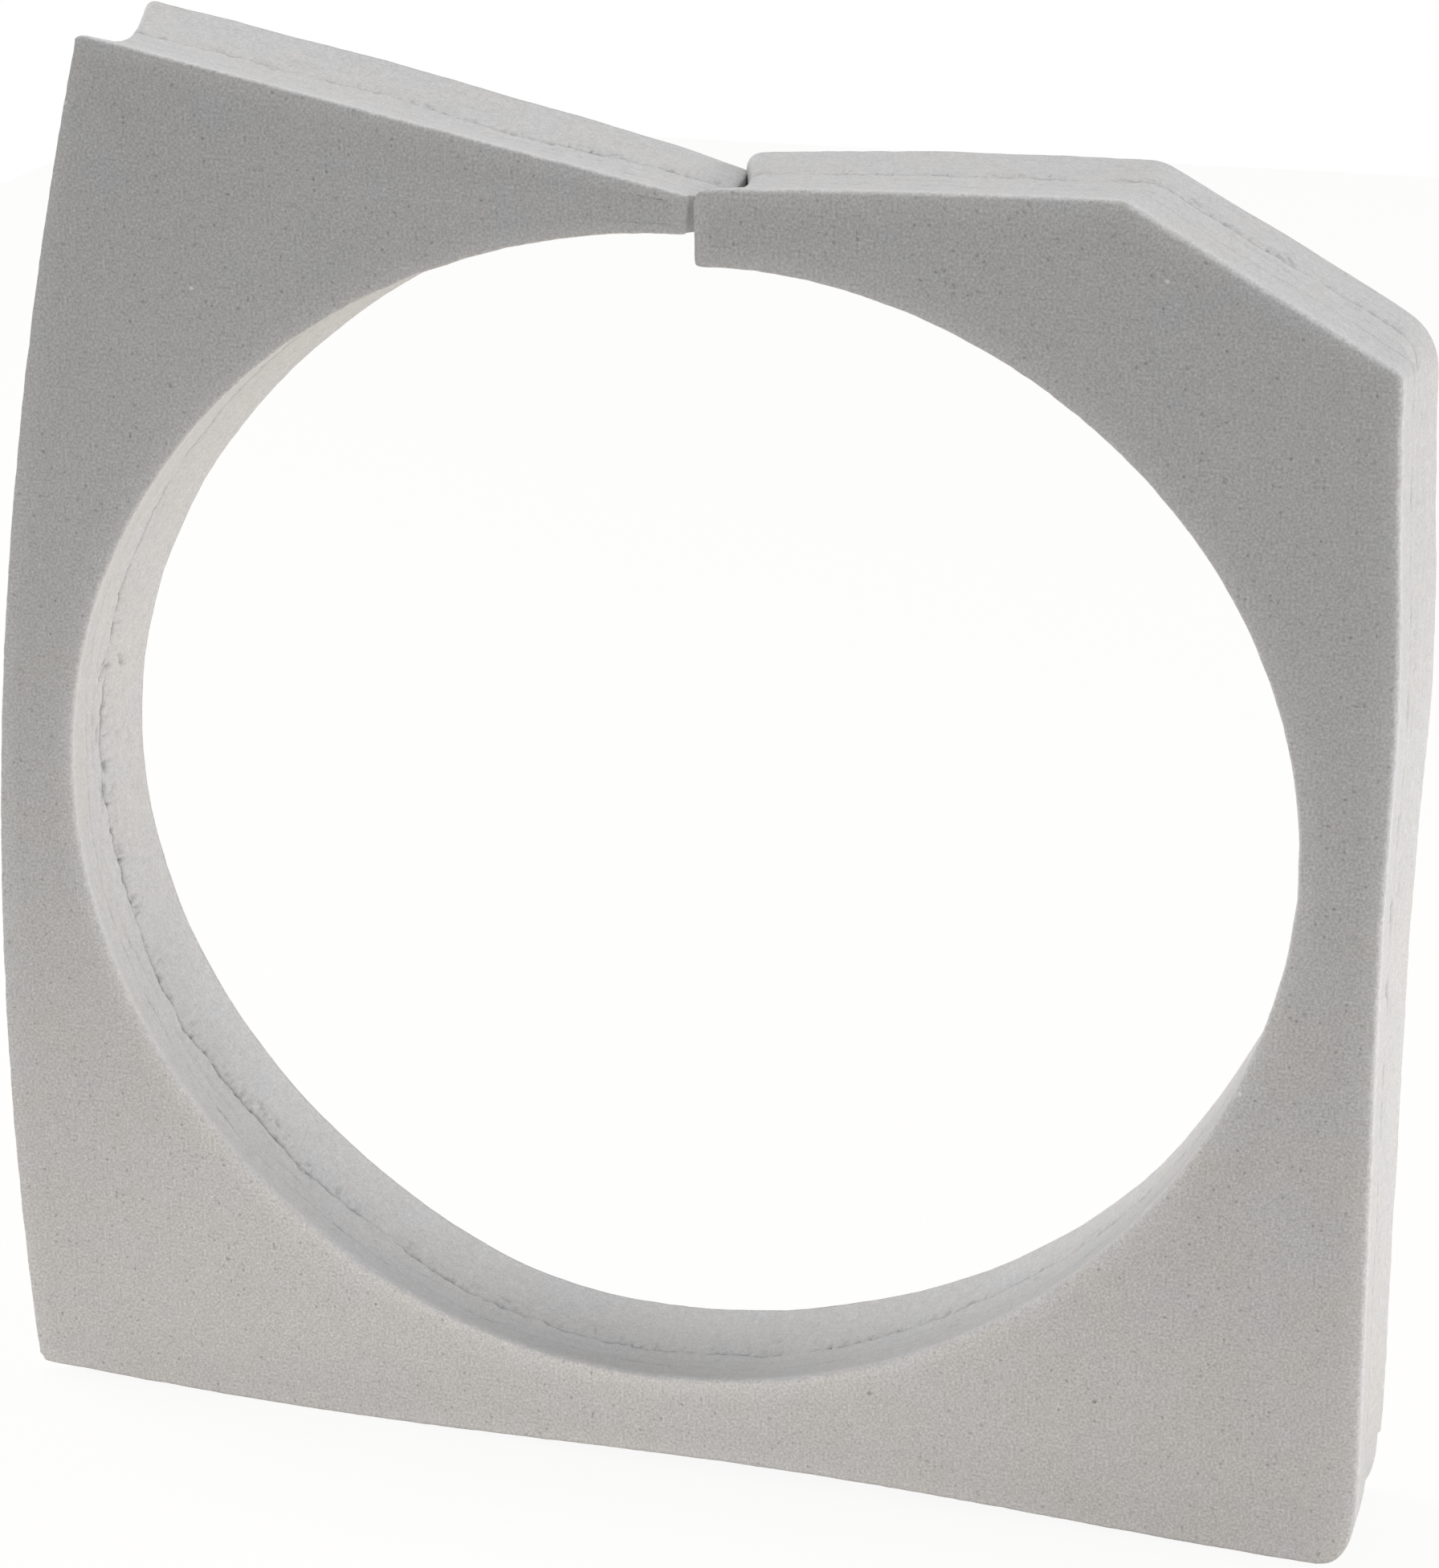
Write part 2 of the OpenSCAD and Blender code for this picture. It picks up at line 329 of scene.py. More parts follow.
def right_edges():
    """The right half's edges in order, from the bottom of the opening to the slit and back."""
    return [
        ring_edge(RING_ENDS[-1], RIGHT),
        edge("right_end", RIGHT_END_LOW, RIGHT_END_TOP, RIGHT, draw=4.9, waist=-8.8, lip=END_ROUND,
             rear=((0.0, 0.35),)),
        edge("top_right", RIGHT_END_TOP, SLANT_TOP, RIGHT, draw=0.7, bow=TOP_RIGHT_BOW, lip=TOP_RIGHT_ROUND,
             line_open=((0.0, 0.5),), rear=((0.0, 0.2), (0.5, 0.6), (1.0, 0.4))),
        edge("slant", SLANT_TOP, SLANT_LOW, RIGHT, draw=0.05, line_shift=2.0,
             line_open=((0.0, 0.65),), rear=((0.0, 0.2), (0.5, 0.45), (1.0, 0.3))),
        edge("right", SLANT_LOW, LOW_RIGHT, RIGHT, draw=1.0, swell=3.0,
             first_open=((0.0, 1.0), (0.7, 1.0), (1.0, 0.4)),
             rear=((0.0, 0.75), (0.28, 0.75), (0.5, 0.25), (0.92, -0.45), (1.0, -1.0))),
        edge("lower", LOW_RIGHT, CUT_LOW, RIGHT, draw=0.4),
    ]


def waist_profile(waist, y, swell):
    """Share of the full draw at a depth: all of it at the waist, and less towards the two faces.

    A swell sets in over its own depth in front of the waist, and keeps a part of itself at the rear face.
    """
    if swell is not None:
        rise = np.clip((y - waist) / swell + 1.0, 0.0, 1.0)
        fall = np.clip((y - waist) / (REAR_Y - waist), 0.0, 1.0)
        return eased(rise) * (1.0 - SWELL_FALL * fall)
    reach = np.where(y < waist, waist - FRONT_Y, REAR_Y - waist)
    return 1.0 - np.clip(np.abs(y - waist) / reach, 0.0, 1.0) ** WAIST_POWER


class HalfOutline:
    """The closed outline of one half of the frame, and how it changes through the foam's depth."""

    def __init__(self, edges, side, seed):
        self.edges = edges
        self.side = side
        self.seed = seed
        self.cut = np.linspace(0.0, 1.0, CUT_COLUMNS + 2)[1:-1]
        counts = [len(e["points"]) for e in edges]
        self.whole = sum(counts)
        self.count = self.whole + CUT_COLUMNS
        self.parts = np.split(np.arange(self.whole), np.cumsum(counts)[:-1])
        steps = np.linalg.norm(np.diff(np.concatenate([e["points"] for e in edges]), axis=0), axis=1)
        self.run = np.concatenate(([0.0], np.cumsum(steps)))
        self.along = np.concatenate((self.run, np.full(CUT_COLUMNS, self.run[-1])))
        self.shift = self.evened("shift", SHIFT_REACH)
        self.open = self.evened("open", OPEN_REACH)
        self.first = self.evened("first", OPEN_REACH)
        self.lip = self.evened("lip", LIP_REACH)
        self.front_fray = small_waves(self.run, FRONT_FRAY, seed)
        self.rear_fray = small_waves(self.run, REAR_FRAY, seed)
        width = self.width_inside()
        self.room = ROOM_SHARE * width
        self.most_draw = DRAW_SHARE * width
        self.most_draw[self.parts[1]] = edges[1]["draw"]

    def evened(self, label, reach):
        """A quantity along the whole outline, evened out over a reach where one edge meets the next."""
        values = np.concatenate([e[label] for e in self.edges])
        width = int(reach / COLUMN_STEP)
        padded = np.concatenate((np.full(width, values[0]), values, np.full(width, values[-1])))
        return np.convolve(padded, np.ones(2 * width + 1) / (2 * width + 1), mode="valid")

    def width_inside(self):
        """How wide the foam is between the opening and the outer edge, so that no loops cross in it."""
        ring = self.edges[0]["points"]
        outer = np.concatenate([e["points"] for e in self.edges[2:]])
        ring_width = np.linalg.norm(ring[:, None, :] - outer[None, ::WIDTH_SKIP, :], axis=2).min(axis=1)
        outer_width = np.linalg.norm(outer[:, None, :] - ring[None, ::WIDTH_SKIP, :], axis=2).min(axis=1)
        end_width = np.full(len(self.edges[1]["points"]), max(ring_width[-1], END_WIDTH))
        return np.concatenate((ring_width, end_width, outer_width))

    def moved_in(self, depth, inset, back):
        """How far each edge lies inside its line on the front face, at a depth."""
        moved = []
        for e, part in zip(self.edges, self.parts):
            draw = np.minimum(e["draw"], self.most_draw[part])
            draw = draw * waist_profile(e["waist"], depth[part], e["swell"])
            fray = self.front_fray[part] * (1.0 - back[part]) + self.rear_fray[part] * back[part]
            moved.append(draw + fray + inset[part] - e["rear"] * back[part])
        return moved

    def meet_at_corners(self, moved):
        """The moved edges, slid along themselves until their ends meet, and the corners where they do."""
        places = [e["points"] + e["normals"] * d[:, None] for e, d in zip(self.edges, moved)]
        corners = []
        for i in range(len(self.edges) - 1):
            a, b = self.edges[i], self.edges[i + 1]
            rows = np.array((a["normals"][-1], b["normals"][0]))
            corners.append(a["points"][-1] + np.linalg.solve(rows, (moved[i][-1], moved[i + 1][0])))
        for i, e in enumerate(self.edges):
            first = (corners[i - 1] - places[i][0]) @ e["tangents"][0] if i > 0 else 0.0
            last = (corners[i] - places[i][-1]) @ e["tangents"][-1] if i < len(corners) else 0.0
            slide = first * (1.0 - e["share"]) + last * e["share"]
            places[i] = places[i] + e["tangents"] * slide[:, None]
        return places, corners

    def loop(self, depth, inset):
        """The outline at a depth, moved into the foam by inset: places and normals, without fine detail."""
        depth = np.broadcast_to(depth, (self.whole,))
        inset = np.minimum(np.broadcast_to(inset, (self.whole,)), self.room)
        back = (depth - FRONT_Y) / (REAR_Y - FRONT_Y)
        places, corners = self.meet_at_corners(self.moved_in(depth, inset, back))
        normals = [e["normals"].copy() for e in self.edges]
        for i, corner in enumerate(corners):
            reach = CORNER_SHARE * min(np.linalg.norm(places[k][-1] - places[k][0]) for k in (i, i + 1))
            self.round_corner(i, corner, places, normals, back[self.parts[i][-1]], reach)
        facing = np.concatenate(normals)
        facing /= np.linalg.norm(facing, axis=1)[:, None]
        outline = self.close_at_cut(np.concatenate(places))
        return outline, np.concatenate((facing, np.zeros((CUT_COLUMNS, 2))))

    def close_at_cut(self, outline):
        """The outline closed along the upright cut where the two halves meet."""
        outline[0, 0] = CUT_X
        outline[-1, 0] = CUT_X
        cut = outline[-1] + np.outer(self.cut, outline[0] - outline[-1])
        return np.concatenate((outline, cut))

    def round_corner(self, i, corner, places, normals, back, most):
        """Rounds the corner between edge i and the next one, by its radius at the front and at the rear."""
        a, b = self.edges[i], self.edges[i + 1]
        front_round, rear_round = CORNER_ROUND[(a["name"], b["name"])]
        radius = front_round + (rear_round - front_round) * back ** CORNER_GROWTH
        ahead = a["tangents"][-1]
        onward = b["tangents"][0]
        turn = math.acos(max(-1.0, min(1.0, float(ahead @ onward))))
        reach = min(radius * math.tan(turn / 2.0), most)
        first = reach * (LOW_RIGHT_STRETCH if a["name"] == "right" else 1.0)
        before = (corner - places[i]) @ ahead
        after = (places[i + 1] - corner) @ onward
        near = (np.linalg.norm(places[i] - corner, axis=1) < first * CORNER_NEAR) & (before < first)
        far = (np.linalg.norm(places[i + 1] - corner, axis=1) < reach * CORNER_NEAR) & (after < reach)
        start = corner - ahead * first
        end = corner + onward * reach
        for group, rows, gone in ((i, near, -before / first), (i + 1, far, after / reach)):
            t = 0.5 + 0.5 * np.clip(gone[rows], -1.0, 1.0)[:, None]
            places[group][rows] = (1 - t) ** 2 * start + 2 * t * (1 - t) * corner + t ** 2 * end
            normals[group][rows] = (1 - t) * a["normals"][-1] + t * b["normals"][0]


def bond_depth(half, base, shift_share, seed):
    """Where a bond line runs on the cut wall: it wanders about its own depth."""
    return base + shift_share * half.shift + small_waves(half.run, BOND_WANDER, half.seed + seed)


def open_share(half, reach, seed, closed):
    """From 0 where a line is closed to 1 where it gapes; the more closed, the shorter its open stretches."""
    wave = OPEN_LEVEL + OPEN_HEIGHT * smooth_noise(half.run / reach, 0.0, half.seed + seed)
    return eased(np.clip(wave - closed, 0.0, 1.0))


def bond_lines(half):
    """The two bond lines of a half and the score between them: depth, and where and how wide each gapes."""
    first_gape = FIRST_OPEN + FIRST_MORE_OPEN * half.first
    first_wider = np.clip(half.first - half.open, 0.0, 1.0)
    return {
        "first": bond_depth(half, FIRST_BOND_Y, shift_share=0.5, seed=31.0),
        "first_open": first_gape * open_share(half, reach=5.0, seed=41.0, closed=0.15),
        "first_width": LINE_WIDTH + OPEN_LINE_WIDTH * first_wider,
        "main": bond_depth(half, MAIN_BOND_Y, shift_share=1.0, seed=37.0),
        "main_open": half.open * open_share(half, reach=7.0, seed=43.0, closed=-0.25),
        "main_width": LINE_WIDTH,
        "main_step": STEP_DEEP * half.open * open_share(half, reach=22.0, seed=47.0, closed=0.1),
        "score": bond_depth(half, SCORE_Y, shift_share=0.7, seed=61.0),
        "score_open": SCORE_OPEN * half.open * open_share(half, reach=9.0, seed=67.0, closed=0.0),
        "score_width": LINE_WIDTH,
    }


def tears(half, seed, count):
    """Short cracks in the cut wall: place, depth, slant, length, width and how deep each one is."""
    pick = random.Random(seed)
    rows = []
    for _ in range(count):
        rows.append((
            pick.uniform(0.0, half.run[-1]),
            pick.gauss(*CRACK_DEPTH),
            math.radians(pick.gauss(*CRACK_SLANT)),
            pick.uniform(*CRACK_LENGTH),
            pick.uniform(*CRACK_WIDTH),
            pick.uniform(*CRACK_DEEP),
        ))
    return rows


def cut_cracks(half, depth, cracks, relief, groove_shade):
    """Cuts the cracks into one row of a wall, and paints shade into their grooves."""
    for place, middle, slant, length, width, deep in cracks:
        x = half.run - place
        near = np.abs(x) < length
        if not near.any():
            continue
        y = depth[near] - middle
        level = x[near] * math.cos(slant) + y * math.sin(slant)
        across = -x[near] * math.sin(slant) + y * math.cos(slant)
        across = across + CRACK_WAVE * np.sin(level * CRACK_WAVE_TURN + place)
        ends = np.clip(1.0 - (2.0 * np.abs(level) / length) ** 2, 0.0, 1.0)
        cut = ends * half.open[near] * np.exp(-((across / width) ** 2))
        relief[near] += deep * cut
        groove_shade[near] += CRACK_SHADE * deep * cut


def main_bond_fringe(half, depth, lines):
    """How loose the foam is just behind the main bond, and how far it has dropped back there."""
    behind = depth - lines["main"]
    along, across = FRINGE_GRAIN
    loose = smooth_noise(half.run / along, depth / across, half.seed + FRINGE_SEED)
    loose = np.clip(loose - FRINGE_LEVEL, 0.0, 1.0)
    loose = FRINGE_SHARE * lines["main_open"] * loose * np.exp(-np.abs(behind) / FRINGE_REACH)
    step = lines["main_step"] * np.exp(-np.abs(behind) / STEP_REACH)
    return np.where(behind > 0.0, loose, 0.0), np.where(behind > 0.0, step, 0.0)


def raggedness(half):
    """How ragged the lines' grooves are along the wall, from 0 to 1."""
    ragged = np.ones(half.whole)
    for level, height, length, seed in RAGGED_WAVES:
        wave = smooth_noise(half.run / length, 0.0, half.seed + seed)
        ragged *= np.clip(level + height * wave, 0.0, 1.0)
    return ragged


def fine_relief(half, depth, cracks, lines):
    """How far a wall row lies below the smooth wall at each place, and how much painted shade its grooves
    get there, from 0 to 1.
    """
    relief = np.zeros(half.whole)
    groove_shade = np.zeros(half.whole)
    for height, along, across, seed in WALL_WAVES:
        relief += height * smooth_noise(half.run / along, depth / across, half.seed + seed)
    cut_cracks(half, depth, cracks, relief, groove_shade)
    fringe, step = main_bond_fringe(half, depth, lines)
    relief += step
    relief += FRINGE_DEEP * fringe
    groove_shade += FRINGE_SHADE * fringe
    gape = EVEN_LINE + (1.0 - EVEN_LINE) * raggedness(half)
    for line, deep in LINE_DEEP.items():
        away = np.abs(depth - lines[line])
        groove = (lines[line + "_open"] * gape + CLOSED_LINE) * np.exp(-away / lines[line + "_width"])
        relief += deep * groove
        groove_shade += LINE_SHADE * groove
    return np.minimum(relief, 0.5 * half.room), np.clip(groove_shade, 0.0, 1.0)


def wall_rows(start, end):
    """Depths of a wall's rows between two lines, closer together next to a bond."""
    near = np.array(ROWS_BY_BOND)
    thick = float(np.mean(end - start))
    count = max(FEWEST_ROWS, int((thick - 2.0 * BOND_MARGIN) / WALL_STEP))
    middle = np.linspace(BOND_MARGIN, thick - BOND_MARGIN, count)
    fixed = np.concatenate((near, middle, thick - near[::-1]))
    return [start + (end - start) * (f / thick) for f in fixed]


class SheetLoops:
    """The loops of one half of a sheet, from its front to its rear: places, and how each one is finished."""

    def __init__(self, half, lines, cracks):
        self.half = half
        self.lines = lines
        self.cracks = cracks
        self.rows = []

    def add(self, depth, inset, rim, wall, finish=None):
        """One loop at a depth, with its share of the painted light and shade at the lips, and of the cut
        wall's relief and painted groove shade.
        """
        half = self.half
        outline, facing = half.loop(depth, inset)
        groove_shade = np.zeros(half.count)
        if finish is not None:
            relief, groove_shade[: half.whole] = finish
            outline[: half.whole] += facing[: half.whole] * relief[:, None]
            outline = half.close_at_cut(outline[: half.whole])
        deep = np.broadcast_to(depth, (half.whole,)).astype(float)
        y = np.concatenate((deep, deep[-1] + half.cut * (deep[0] - deep[-1])))
        main = np.concatenate((self.lines["main"], np.full(CUT_COLUMNS, MAIN_BOND_Y)))
        self.rows.append({
            "co": np.stack((outline[:, 0], y, outline[:, 1]), axis=1),
            "rim": np.full(half.count, rim),
            "wall": np.full(half.count, wall),
            "depth": y - main,
            "groove_shade": groove_shade,
        })

    def bonded_face(self, plane, line, gap):
        """The loop inside a bond, from which the bonded face is closed."""
        relief = fine_relief(self.half, self.lines[line], self.cracks, self.lines)[0]
        self.add(np.full(self.half.whole, plane + gap), CAP_INSET + relief, 0.0, 1.0)

    def cut_wall(self, start, end, first=0, last=None):
        """The rows of the cut wall between two lines, with all their fine detail, painted shade in their
        grooves and painted light near the front lip.
        """
        for depth in wall_rows(start, end)[first:last]:
            lip = float(np.clip(1.0 - (np.mean(depth) - FRONT_Y) / WALL_LIP_LIGHT_REACH, 0.0, 1.0))
            relief = fine_relief(self.half, depth, self.cracks, self.lines)
            self.add(depth, 0.0, WALL_LIP_LIGHT * lip, 1.0, relief)

    def front_lip(self):
        """The rounded lip between the front face and the wall, with painted light along it."""
        lip = self.half.lip
        for turn in np.linspace(0.0, 90.0, FRONT_LIP_LOOPS):
            a = math.radians(turn)
            rim = FRONT_LIP_LIGHT + (1.0 - FRONT_LIP_LIGHT) * math.sin(a)
            self.add(FRONT_Y + lip * (1 - math.cos(a)), lip * (1 - math.sin(a)), rim, turn / 90.0)

    def rear_lip(self):
        """The rounded lip between the wall and the rear face, with painted shade along it."""
        for turn in np.linspace(90.0, 0.0, REAR_LIP_LOOPS):
            a = math.radians(turn)
            inset = REAR_ROUND * (1 - math.sin(a))
            self.add(REAR_Y - REAR_ROUND * (1 - math.cos(a)), inset, REAR_LIP_SHADE, turn / 90.0)


def front_sheet_loops(loops):
    """The front sheet: its face, its rounded lip and its wall back to the first bond."""
    for inset, rim in FRONT_FACE_LOOPS:
        loops.add(FRONT_Y, inset, rim, 0.0)
    loops.front_lip()
    loops.cut_wall(FRONT_Y + loops.half.lip, loops.lines["first"] - SHEET_GAP, first=1)
    loops.bonded_face(FIRST_BOND_Y, "first", -SHEET_GAP)


def middle_sheet_loops(loops):
    """The middle sheet: its wall between the two bonds."""
    loops.bonded_face(FIRST_BOND_Y, "first", SHEET_GAP)
    loops.cut_wall(loops.lines["first"] + SHEET_GAP, loops.lines["main"] - SHEET_GAP)
    loops.bonded_face(MAIN_BOND_Y, "main", -SHEET_GAP)


def rear_sheet_loops(loops):
    """The rear sheet: its wall from the main bond, its rounded lip and its face."""
    loops.bonded_face(MAIN_BOND_Y, "main", SHEET_GAP)
    wall_end = np.full(loops.half.whole, REAR_Y - REAR_ROUND)
    loops.cut_wall(loops.lines["main"] + SHEET_GAP, wall_end, last=-1)
    loops.rear_lip()
    for inset, rim in REAR_FACE_LOOPS:
        loops.add(REAR_Y, inset, rim, 0.0)


SHEET_LOOPS = {
    "front_sheet": front_sheet_loops,
    "middle_sheet": middle_sheet_loops,
    "rear_sheet": rear_sheet_loops,
}


def deselect_all():
    """Leaves nothing selected."""
    bpy.ops.object.select_all(action="DESELECT")


def set_marks(mesh, label, values):
    """Keeps a number for each vertex, for the foam's finish to read."""
    mesh.attributes.new(label, "FLOAT", "POINT").data.foreach_set("value", values.astype(np.float32))


def close_sheet(half):
    """Merges the rolled grid's seam and closes its two faces, all of it facing outwards."""
    bpy.ops.object.mode_set(mode="EDIT")
    bpy.ops.mesh.select_all(action="SELECT")
    bpy.ops.mesh.remove_doubles(threshold=SEAM_GAP)
    bpy.ops.mesh.select_all(action="SELECT")
    bpy.ops.mesh.fill_holes(sides=0)
    if half.side > 0.0:
        bpy.ops.mesh.select_all(action="SELECT")
        bpy.ops.mesh.flip_normals()
    bpy.ops.object.mode_set(mode="OBJECT")
    bpy.ops.object.shade_smooth_by_angle(angle=math.radians(SMOOTH_ANGLE))


def roll_sheet(name, half, rows):
    """A grid rolled round the outline, one row for each loop."""
    deselect_all()
    across = half.count
    down = len(rows) - 1
    bpy.ops.mesh.primitive_grid_add(x_subdivisions=across, y_subdivisions=down, size=1.0, calc_uvs=False)
    piece = bpy.context.object
    piece.name = name
    mesh = piece.data
    mesh.name = name
    flat = np.zeros(len(mesh.vertices) * 3)
    mesh.vertices.foreach_get("co", flat)
    flat = flat.reshape(-1, 3)
    column = np.rint((flat[:, 0] + 0.5) * across).astype(int) % across
    row = np.rint((flat[:, 1] + 0.5) * down).astype(int)
    shape = np.stack([r["co"] for r in rows])
    mesh.vertices.foreach_set("co", (shape[row, column] * MM).ravel())
    for label in ("rim", "wall", "depth", "groove_shade"):
        set_marks(mesh, label, np.stack([r[label] for r in rows])[row, column])
    set_marks(mesh, "along", half.along[column])
    mesh.update()
    close_sheet(half)
    return piece


class Nodes:
    """Short way to add and join a material's nodes."""

    def __init__(self, tree):
        self.tree = tree
        tree.nodes.clear()

    def fill(self, node, inputs):
        """Joins or sets each input of a node."""
        for key, value in inputs.items():
            if isinstance(value, bpy.types.NodeSocket):
                self.tree.links.new(value, node.inputs[key])
            else:
                node.inputs[key].default_value = value
        return node

    def add(self, kind, inputs=None, **settings):
        """A new node with its settings and inputs."""
        node = self.tree.nodes.new(kind)
        for key, value in settings.items():
            setattr(node, key, value)
        return self.fill(node, inputs or {})

    def math(self, operation, a, b=0.0, c=0.0, clamp=False):
        """The result of one operation on up to three values."""
        node = self.add("ShaderNodeMath", {0: a, 1: b, 2: c}, operation=operation, use_clamp=clamp)
        return node.outputs[0]

    def span(self, value, low, high, to_low=0.0, to_high=1.0):
        """A value moved from one span to another and kept inside it."""
        inputs = {"Value": value, "From Min": low, "From Max": high, "To Min": to_low, "To Max": to_high}
        return self.add("ShaderNodeMapRange", inputs, clamp=True).outputs["Result"]

    def tint(self, share, a, b, blend="MIX"):
        """A share of one colour laid over another."""
        node = self.add("ShaderNodeMix", data_type="RGBA", blend_type=blend)
        return self.fill(node, {0: share, 6: a, 7: b}).outputs[2]

    def speckle(self, where, scale, detail, **more):
        """Noise of a scale, from 0 to 1."""
        inputs = {"Vector": where, "Scale": scale, "Detail": detail, **more}
        return self.add("ShaderNodeTexNoise", inputs).outputs["Fac"]

    def mark(self, label):
        """A number that each vertex of the foam keeps."""
        return self.add("ShaderNodeAttribute", attribute_name=label).outputs["Fac"]


def spots(n, where, spacing, size, share):
    """Round soft spots, one in some of the cells of a random grid; sizes in millimetres."""
    cell = n.add("ShaderNodeTexVoronoi", {"Vector": where, "Scale": 1.0 / (spacing * MM)}, feature="F1")
    pick = n.add("ShaderNodeSeparateColor", {"Color": cell.outputs["Color"]})
    wanted = n.math("LESS_THAN", pick.outputs[0], share)
    grown = n.span(pick.outputs[1], 0.0, 1.0, SPOT_LEAST * size / spacing, SPOT_MOST * size / spacing)
    inside = n.math("SUBTRACT", 1.0, n.math("DIVIDE", cell.outputs["Distance"], grown), clamp=True)
    return n.math("MULTIPLY", n.span(inside, 0.0, SPOT_EDGE), wanted)


# Spots of the foam: their least and most size and their soft edge, then for each kind how far apart its
# cells are, how large its spots are and how many cells have one.
SPOT_LEAST = 0.6
SPOT_MOST = 1.3
SPOT_EDGE = 0.6
PORES = (0.9, 0.22, 0.25)
HOLES = (4.5, 0.34, 0.30)
FLECKS = (5.0, 0.29, 0.25)
STAINS = (23.0, 0.9, 0.30)
FLECK_COLOUR = (0.76, 0.75, 0.73, 1.0)
STAIN_COLOUR = (0.50, 0.38, 0.30, 1.0)
STAIN_SHARE = 0.35

# How much each thing lightens or darkens the foam. Pairs give what a face has above a wall, and the wall.
GRAIN_SHARE = (0.16, 0.14)
KNOT_SHARE = (-0.01, 0.05)
PORE_SHARE = (-0.18, -0.05)
BROAD_SHARE = 0.012
HOLE_SHARE = -0.25
# Painted light along the front lip, which turns to painted shade along the rear lip where its share is
# negative.
LIP_LIGHT_AND_SHADE_SHARE = 0.14
# Painted shade in the grooves of the cracks, the loose fringe and the lines.
GROOVE_SHADE_SHARE = -0.42
STREAK_SHARE = 0.014

# Scales of the foam's noises, of the streaks along the cut wall and across it, and the span used of each.
CELL_SCALE = 3000.0
CELL_ROUGHNESS = 0.7
KNOT_SCALE = 950.0
CLOUD_SCALE = 110.0
BROAD_SCALE = 38.0
STREAK_ALONG = 0.09
STREAK_ACROSS = 1.6
GRAIN_SPAN = (0.25, 0.75)
BROAD_SPAN = (0.3, 0.7)
CLOUD_SPAN = (0.35, 0.65)

# The foam's grey, which wanders between a warmer and a cooler one.
FOAM_GREY = (0.504, 0.497, 0.491)
WARM_SHARE = (1.008, 1.0, 0.985)
COOL_SHARE = (0.996, 1.0, 1.012)

# Height of the foam's small relief, in shares of its depth in metres.
GRAIN_HEIGHT = 0.5
PORE_HEIGHT = -1.6
HOLE_HEIGHT = -2.0
STREAK_HEIGHT = 1.5
RELIEF_STRENGTH = 0.55
RELIEF_DEPTH = 0.00006
FOAM_ROUGHNESS = 0.93
FOAM_SHINE = 0.12


def foam_marks(n):
    """Everything that the foam's tone, colour and relief are made of."""
    where = n.add("ShaderNodeTexCoord").outputs["Object"]
    wall = n.mark("wall")
    along = n.math("MULTIPLY", n.mark("along"), STREAK_ALONG)
    across = n.math("MULTIPLY", n.mark("depth"), STREAK_ACROSS)
    run = n.add("ShaderNodeCombineXYZ", {"X": along, "Y": across})
    return {
        "wall": wall,
        "face": n.math("SUBTRACT", 1.0, wall, clamp=True),
        "rim": n.mark("rim"),
        "groove_shade": n.mark("groove_shade"),
        "grain": n.span(n.speckle(where, CELL_SCALE, 2.0, Roughness=CELL_ROUGHNESS), *GRAIN_SPAN, -1.0, 1.0),
        "knots": n.span(n.speckle(where, KNOT_SCALE, 2.0), *GRAIN_SPAN, -1.0, 1.0),
        "broad": n.span(n.speckle(where, BROAD_SCALE, 2.0), *BROAD_SPAN, -1.0, 1.0),
        "cloud": n.span(n.speckle(where, CLOUD_SCALE, 3.0), *CLOUD_SPAN),
        "streak": n.speckle(run.outputs[0], 1.0, 3.0),
        "pores": spots(n, where, *PORES),
        "holes": spots(n, where, *HOLES),
        "flecks": spots(n, where, *FLECKS),
        "stains": spots(n, where, *STAINS),
    }


def foam_tone(n, marks):
    """How light the foam is, about 1: grain and pores on its faces, streaks on its walls, painted light
    along the front lip, and painted shade along the rear lip and in the grooves.
    """
    face = marks["face"]
    shares = {
        "grain": n.math("MULTIPLY_ADD", face, *GRAIN_SHARE),
        "knots": n.math("MULTIPLY_ADD", face, *KNOT_SHARE),
        "broad": BROAD_SHARE,
        "pores": n.math("MULTIPLY_ADD", face, *PORE_SHARE),
        "holes": n.math("MULTIPLY", face, HOLE_SHARE),
        "rim": LIP_LIGHT_AND_SHADE_SHARE,
        "groove_shade": GROOVE_SHADE_SHARE,
    }
    tone = 1.0
    for label, share in shares.items():
        tone = n.math("MULTIPLY_ADD", marks[label], share, tone)
    streak = n.span(marks["streak"], *BROAD_SPAN, -STREAK_SHARE, STREAK_SHARE)
    return n.math("ADD", tone, n.math("MULTIPLY", streak, marks["wall"]))


def foam_colour(n, marks, base):
    """The foam's grey with its tone, a few brownish stains and pale flecks."""
    warm = tuple(b * w for b, w in zip(base, WARM_SHARE)) + (1.0,)
    cool = tuple(b * c for b, c in zip(base, COOL_SHARE)) + (1.0,)
    tone = foam_tone(n, marks)
    grey = n.add("ShaderNodeCombineColor", {0: tone, 1: tone, 2: tone})
    colour = n.tint(marks["cloud"], warm, cool)
    colour = n.tint(n.math("MULTIPLY", marks["stains"], STAIN_SHARE), colour, STAIN_COLOUR)
    colour = n.tint(1.0, colour, grey.outputs[0], "MULTIPLY")
    return n.tint(n.math("MULTIPLY", marks["flecks"], marks["face"]), colour, FLECK_COLOUR)


